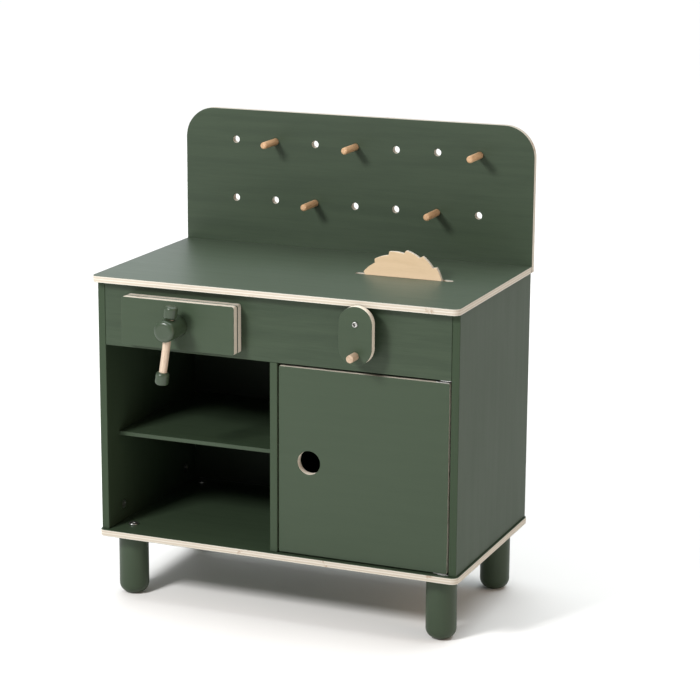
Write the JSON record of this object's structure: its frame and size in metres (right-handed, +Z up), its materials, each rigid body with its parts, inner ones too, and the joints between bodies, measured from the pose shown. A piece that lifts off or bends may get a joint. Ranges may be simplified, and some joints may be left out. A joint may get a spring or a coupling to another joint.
{
  "type": "toy workbench",
  "caption": "Child's wooden workbench on round legs, with a peg board, a vice with a sliding jaw, a hand-cranked saw, an open bay with a shelf and a hinged cupboard door.",
  "frame": {"origin": "on the floor, at the centre of the footprint, which runs from the front of the vice hub to the back of the peg board", "axes": "+Z up, -Y towards the front where the door opens, +X to the right seen from the front"},
  "size_m": [0.6, 0.407, 0.743],
  "materials": {
    "green_painted_ply": "satin dark green paint on birch plywood, with bare ply edges",
    "green_painted_beech": "satin dark green paint on turned beech",
    "beech_dowel": "clear lacquered beech",
    "bare_birch_ply": "clear lacquered birch plywood",
    "zinc_steel": "bright zinc",
    "grey_nylon": "matte"
  },
  "bodies": {
    "cabinet": {"worktop": "green_painted_ply", "base_panel": "green_painted_ply", "backboard": "green_painted_ply", "side_panel_left": "green_painted_ply", "side_panel_right": "green_painted_ply", "centre_divider": "green_painted_ply", "back_panel": "green_painted_ply", "apron": "green_painted_ply", "shelf": "green_painted_ply", "vice_fixed_plate": "green_painted_ply", "leg_front_left": "green_painted_beech", "leg_front_right": "green_painted_beech", "leg_back_left": "green_painted_beech", "leg_back_right": "green_painted_beech", "vice_nut_block": "bare_birch_ply", "axle_bearing_block": "bare_birch_ply", "shelf_pin_front_left": "zinc_steel", "shelf_pin_back_left": "zinc_steel", "shelf_pin_front_right": "zinc_steel", "shelf_pin_back_right": "zinc_steel", "cam_nut_front_left": "zinc_steel", "cam_nut_back_left": "zinc_steel", "cam_nut_front_right": "zinc_steel", "cam_nut_back_right": "zinc_steel", "leg_bolt_front_left": "zinc_steel", "leg_bolt_back_left": "zinc_steel", "leg_bolt_front_right": "zinc_steel", "leg_bolt_back_right": "zinc_steel", "backboard_screw_left": "zinc_steel", "backboard_screw_middle": "zinc_steel", "backboard_screw_right": "zinc_steel", "hinge_bracket_top": "zinc_steel", "hinge_bracket_bottom": "zinc_steel", "door_catch": "grey_nylon", "axle_bush": "grey_nylon"},
    "door": {"door": "green_painted_ply", "door_plate_top": "zinc_steel", "door_plate_bottom": "zinc_steel", "strike_plate": "zinc_steel"},
    "vice_jaw": {"vice_jaw": "green_painted_ply", "vice_guide_left": "beech_dowel", "vice_guide_right": "beech_dowel"},
    "vice_screw": {"vice_spindle": "beech_dowel", "vice_hub": "green_painted_beech", "vice_collar": "zinc_steel"},
    "vice_bar": {"vice_bar": "beech_dowel", "bar_cap_high": "green_painted_beech", "bar_cap_low": "green_painted_beech"},
    "saw_drive": {"crank_plate": "green_painted_ply", "crank_knob": "beech_dowel", "crank_bolt": "zinc_steel", "saw_axle": "beech_dowel", "saw_blade": "bare_birch_ply", "blade_collar_front": "bare_birch_ply", "blade_collar_back": "bare_birch_ply"},
    "peg_1": {"peg_1": "beech_dowel"},
    "peg_2": {"peg_2": "beech_dowel"},
    "peg_3": {"peg_3": "beech_dowel"},
    "peg_4": {"peg_4": "beech_dowel"},
    "peg_5": {"peg_5": "beech_dowel"}
  },
  "joints": [
    {"name": "door_hinge", "type": "hinge", "parent": "cabinet", "child": "door", "pos_m": [0.2745, -0.1232, 0.2611], "axis": [0, 0, 1], "range_deg": [0, 110]},
    {"name": "vice_slide", "type": "slide", "parent": "cabinet", "child": "vice_jaw", "axis": [0, -1, 0], "range_m": [0, 0.04]},
    {"name": "vice_turn", "type": "hinge", "parent": "vice_jaw", "child": "vice_screw", "pos_m": [-0.148, -0.156, 0.46], "axis": [0, -1, 0], "range_deg": [0, 1800]},
    {"name": "bar_slide", "type": "slide", "parent": "vice_screw", "child": "vice_bar", "axis": [0.1495, 0, 0.9888], "range_m": [0, 0.05]},
    {"name": "crank_turn", "type": "hinge", "parent": "cabinet", "child": "saw_drive", "pos_m": [0.1445, -0.147, 0.49], "axis": [0, 1, 0], "continuous": true},
    {"name": "peg_1_slide", "type": "slide", "parent": "cabinet", "child": "peg_1", "axis": [0, -1, 0], "range_m": [0, 0.0103]},
    {"name": "peg_2_slide", "type": "slide", "parent": "cabinet", "child": "peg_2", "axis": [0, -1, 0], "range_m": [0, 0.0103]},
    {"name": "peg_3_slide", "type": "slide", "parent": "cabinet", "child": "peg_3", "axis": [0, -1, 0], "range_m": [0, 0.0103]},
    {"name": "peg_4_slide", "type": "slide", "parent": "cabinet", "child": "peg_4", "axis": [0, -1, 0], "range_m": [0, 0.0103]},
    {"name": "peg_5_slide", "type": "slide", "parent": "cabinet", "child": "peg_5", "axis": [0, -1, 0], "range_m": [0, 0.0103]}
  ],
  "couplings": [
    {"joint": "vice_turn", "follows": "vice_slide", "rad_per_m": 785.4}
  ]
}
